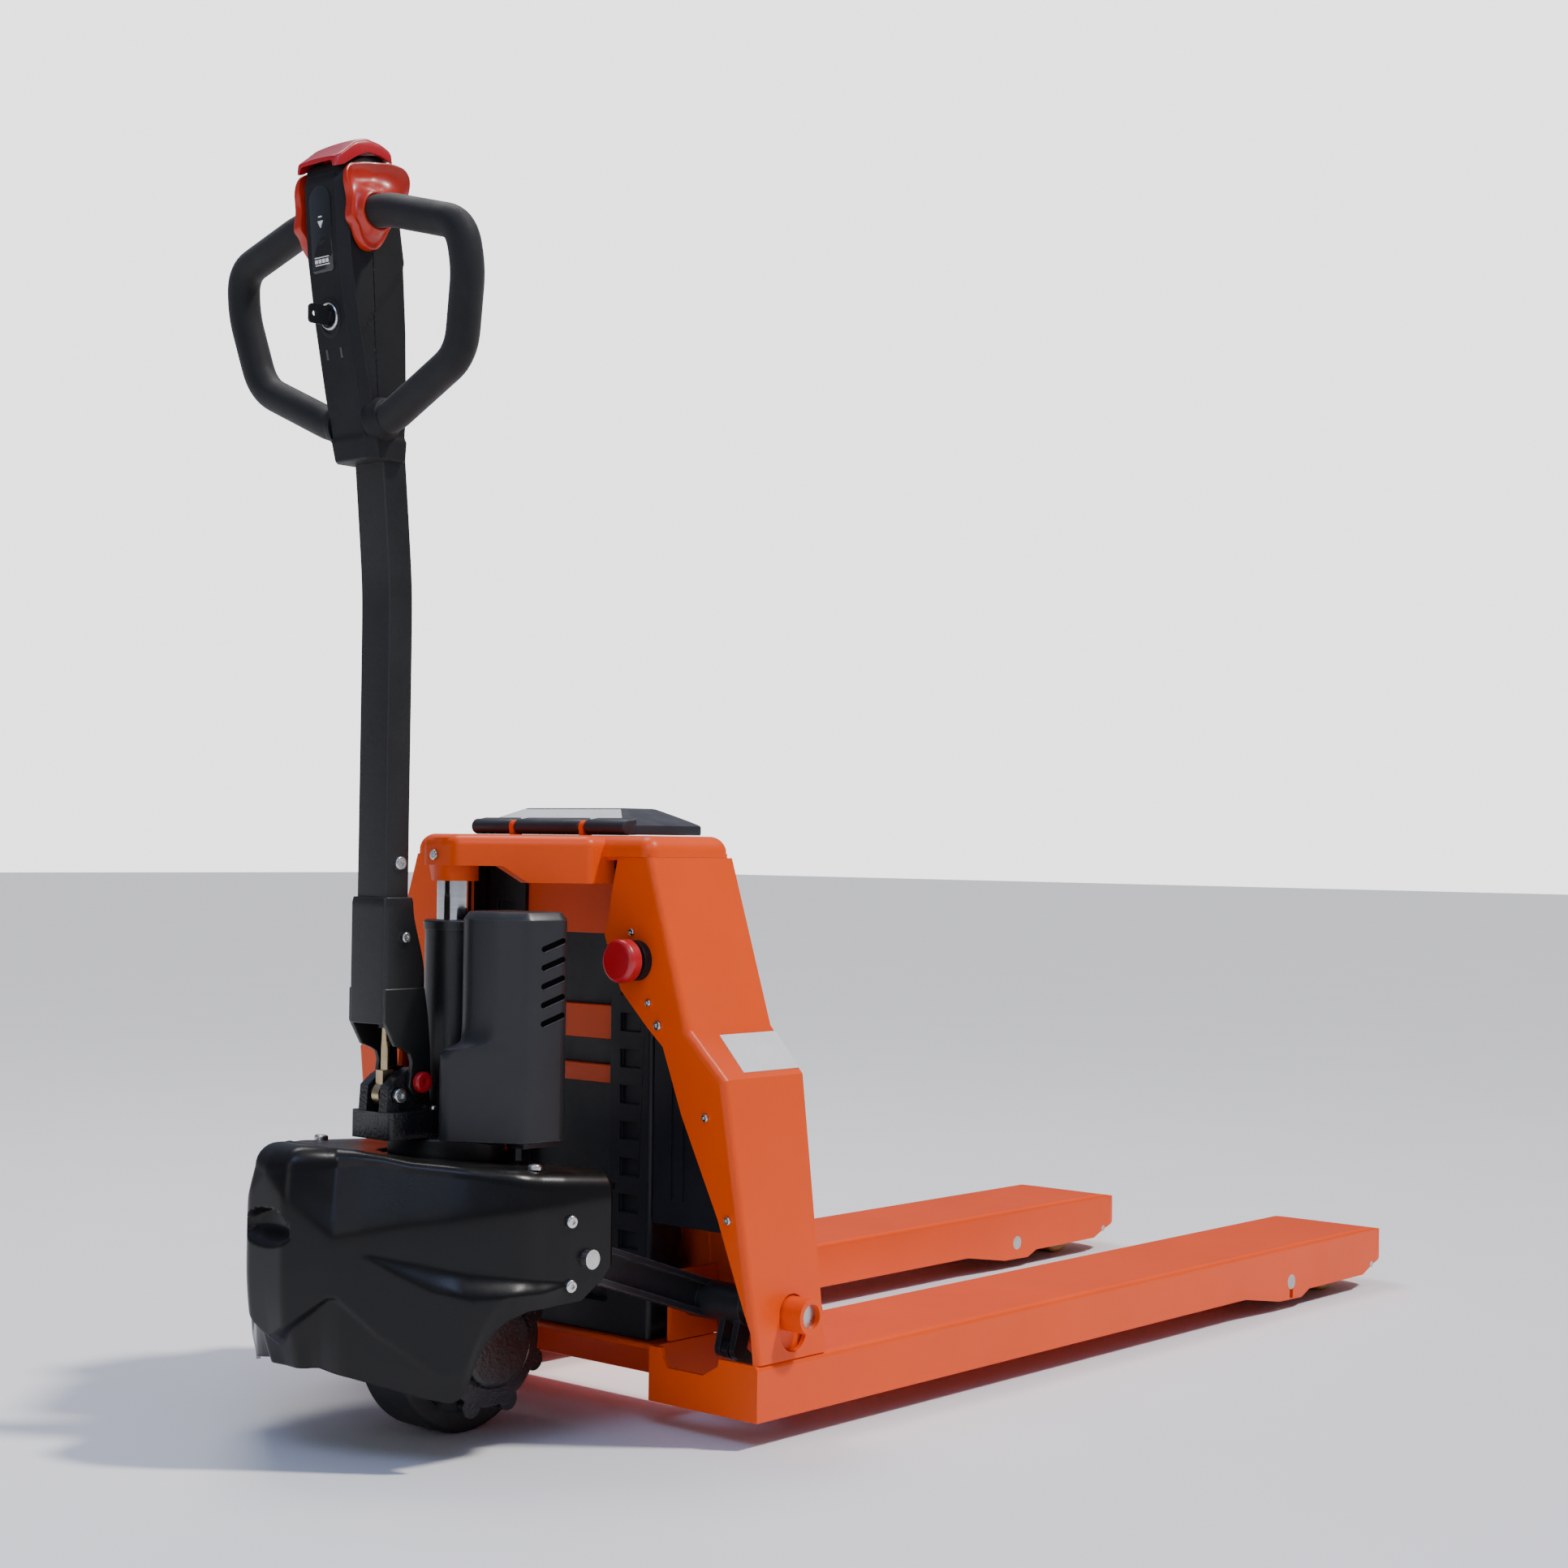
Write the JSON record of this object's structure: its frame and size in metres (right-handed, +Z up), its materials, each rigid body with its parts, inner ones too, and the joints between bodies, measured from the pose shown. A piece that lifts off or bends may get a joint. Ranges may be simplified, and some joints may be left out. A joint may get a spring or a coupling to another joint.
{
  "type": "pallet truck",
  "caption": "Powered pallet truck with two low forks, a battery column, a steered drive wheel under a black bumper and a tilting tiller with a loop handle",
  "frame": {"origin": "middle of the footprint on the ground", "axes": "+X points to the fork tips, +Y to the left of a driver who looks at the forks, +Z up"},
  "size_m": [1.61, 0.604, 1.22],
  "materials": {
    "orange_paint": "vivid orange powder coat on steel, soft gloss",
    "black_paint": "black satin paint on steel",
    "tiller_plastic": "fine-grained matte black moulding",
    "grip_rubber": "soft-touch black grip",
    "bumper_plastic": "semi-gloss black moulding",
    "cover_plastic": "dark grey satin moulding",
    "lid_plastic": "charcoal textured moulding",
    "battery_plastic": "black battery case",
    "liner_plastic": "black liner panel",
    "red_plastic": "crimson control plastic",
    "orange_plastic": "orange-red control plastic",
    "chrome": "hard chrome piston rod",
    "zinc_steel": "bright zinc-plated fasteners",
    "bright_steel": "machined steel",
    "cast_black": "black enamelled casting",
    "tyre_pu": "black polyurethane tread",
    "wheel_pu": "amber polyurethane load wheel",
    "hub_alloy": "cast alloy hub",
    "label_white": "blank white plate",
    "display_black": "glossy black display window",
    "key_brass": "plated key and spring end"
  },
  "bodies": {
    "chassis": {"chassis_frame": "black_paint", "bumper_cover": "bumper_plastic", "bumper_screws": "zinc_steel", "link_pins": "zinc_steel", "steering_bearing": "bright_steel"},
    "steer": {"turntable_yoke": "black_paint", "drive_gearbox": "cast_black", "drive_motor": "cast_black", "cylinder_tube": "black_paint", "cylinder_gland": "black_paint", "pump_cover": "cover_plastic", "pump_motor": "black_paint", "valve_block": "hub_alloy", "tiller_base": "cast_black", "tiller_pivot_bolt": "red_plastic", "base_bolts": "zinc_steel"},
    "drive_wheel": {"drive_hub": "hub_alloy", "drive_tyre": "tyre_pu"},
    "tiller": {"tiller_tube": "black_paint", "tiller_sleeve": "tiller_plastic", "gas_cylinder": "black_paint", "head_front_shell": "tiller_plastic", "head_rear_shell": "tiller_plastic", "handle_grip": "grip_rubber", "display_panel": "display_black", "key_switch": "tiller_plastic", "tiller_screws": "zinc_steel"},
    "gas_spring_rod": {"gas_rod": "key_brass"},
    "throttle": {"throttle_butterfly": "orange_plastic"},
    "belly": {"belly_button": "red_plastic"},
    "key": {"ignition_key": "zinc_steel"},
    "lift_switch": {"lift_button": "label_white"},
    "lower_switch": {"lower_button": "label_white"},
    "carriage": {"fork_right": "orange_paint", "fork_left": "orange_paint", "column_right": "orange_paint", "column_left": "orange_paint", "front_hood": "orange_paint", "cross_member": "orange_paint", "load_backplate": "orange_paint", "battery_straps": "orange_paint", "battery_case": "battery_plastic", "side_liners": "liner_plastic", "estop_base": "tiller_plastic", "frame_screws": "zinc_steel", "name_plate": "label_white", "piston_rod": "chrome", "carriage_pins": "bright_steel"},
    "lid": {"battery_lid": "lid_plastic"},
    "estop": {"estop_button": "red_plastic"},
    "link_right": {"link_arm_right": "black_paint"},
    "push_right": {"push_rod_right": "black_paint"},
    "arm_right": {"wheel_arm_right": "black_paint"},
    "wheel_right": {"load_wheel_right": "wheel_pu"},
    "roller_right": {"entry_roller_right": "wheel_pu"},
    "link_left": {"link_arm_left": "black_paint"},
    "push_left": {"push_rod_left": "black_paint"},
    "arm_left": {"wheel_arm_left": "black_paint"},
    "wheel_left": {"load_wheel_left": "wheel_pu"},
    "roller_left": {"entry_roller_left": "wheel_pu"}
  },
  "joints": [
    {"name": "lift", "type": "slide", "parent": "chassis", "child": "carriage", "axis": [0, 0, 1], "range_m": [0, 0.105]},
    {"name": "steering", "type": "hinge", "parent": "chassis", "child": "steer", "pos_m": [-0.583, 0, 0.25], "axis": [0, 0, 1], "range_deg": [-90, 90]},
    {"name": "drive_spin", "type": "hinge", "parent": "steer", "child": "drive_wheel", "pos_m": [-0.583, 0, 0.09], "axis": [0, 1, 0], "continuous": true},
    {"name": "tiller_tilt", "type": "hinge", "parent": "steer", "child": "tiller", "pos_m": [-0.647, 0, 0.341], "axis": [0, -1, 0], "range_deg": [0, 70], "stiffness_Nm_per_rad": 60, "springref_deg": -34.38},
    {"name": "gas_spring", "type": "slide", "parent": "tiller", "child": "gas_spring_rod", "axis": [0, 0, 1], "range_m": [0, 0.031]},
    {"name": "throttle_turn", "type": "hinge", "parent": "tiller", "child": "throttle", "pos_m": [-0.73317, 0, 1.15], "axis": [0, 1, 0], "range_deg": [-25, 25], "stiffness_Nm_per_rad": 3},
    {"name": "belly_press", "type": "slide", "parent": "tiller", "child": "belly", "axis": [0, 0, -1], "range_m": [0, 0.005], "stiffness_N_per_m": 900, "springref_m": -0.004},
    {"name": "key_turn", "type": "hinge", "parent": "tiller", "child": "key", "pos_m": [-0.74069, 0, 1.056], "axis": [1, 0, 0], "range_deg": [0, 90]},
    {"name": "lift_press", "type": "slide", "parent": "tiller", "child": "lift_switch", "axis": [1, 0, 0], "range_m": [0, 0.0015], "stiffness_N_per_m": 500, "springref_m": -0.001},
    {"name": "lower_press", "type": "slide", "parent": "tiller", "child": "lower_switch", "axis": [1, 0, 0], "range_m": [0, 0.0015], "stiffness_N_per_m": 500, "springref_m": -0.001},
    {"name": "lid_open", "type": "hinge", "parent": "carriage", "child": "lid", "pos_m": [-0.458, 0, 0.585], "axis": [0, -1, 0], "range_deg": [0, 100]},
    {"name": "estop_press", "type": "slide", "parent": "carriage", "child": "estop", "axis": [1, 0, 0], "range_m": [0, 0.005], "stiffness_N_per_m": 1500, "springref_m": -0.003},
    {"name": "link_right_turn", "type": "hinge", "parent": "carriage", "child": "link_right", "pos_m": [-0.394, -0.209, 0.122], "axis": [0, -1, 0], "range_deg": [0, 31.8]},
    {"name": "push_right_slide", "type": "slide", "parent": "carriage", "child": "push_right", "axis": [1, 0, 0], "range_m": [0, 0.024]},
    {"name": "arm_right_turn", "type": "hinge", "parent": "carriage", "child": "arm_right", "pos_m": [0.553, -0.209, 0.034], "axis": [0, 1, 0], "range_deg": [0, 44.2]},
    {"name": "wheel_right_spin", "type": "hinge", "parent": "arm_right", "child": "wheel_right", "pos_m": [0.703, -0.209, 0.036], "axis": [0, 1, 0], "continuous": true},
    {"name": "roller_right_spin", "type": "hinge", "parent": "carriage", "child": "roller_right", "pos_m": [0.761, -0.209, 0.031], "axis": [0, 1, 0], "continuous": true},
    {"name": "link_left_turn", "type": "hinge", "parent": "carriage", "child": "link_left", "pos_m": [-0.394, 0.209, 0.122], "axis": [0, -1, 0], "range_deg": [0, 31.8]},
    {"name": "push_left_slide", "type": "slide", "parent": "carriage", "child": "push_left", "axis": [1, 0, 0], "range_m": [0, 0.024]},
    {"name": "arm_left_turn", "type": "hinge", "parent": "carriage", "child": "arm_left", "pos_m": [0.553, 0.209, 0.034], "axis": [0, 1, 0], "range_deg": [0, 44.2]},
    {"name": "wheel_left_spin", "type": "hinge", "parent": "arm_left", "child": "wheel_left", "pos_m": [0.703, 0.209, 0.036], "axis": [0, 1, 0], "continuous": true},
    {"name": "roller_left_spin", "type": "hinge", "parent": "carriage", "child": "roller_left", "pos_m": [0.761, 0.209, 0.031], "axis": [0, 1, 0], "continuous": true}
  ],
  "couplings": [
    {"joint": "gas_spring", "follows": "tiller_tilt", "m_per_rad": 0.022995},
    {"joint": "link_right_turn", "follows": "lift", "rad_per_m": 5.2792},
    {"joint": "push_right_slide", "follows": "lift", "ratio": 0.22381},
    {"joint": "arm_right_turn", "follows": "lift", "rad_per_m": 7.3138},
    {"joint": "link_left_turn", "follows": "lift", "rad_per_m": 5.2792},
    {"joint": "push_left_slide", "follows": "lift", "ratio": 0.22381},
    {"joint": "arm_left_turn", "follows": "lift", "rad_per_m": 7.3138}
  ]
}
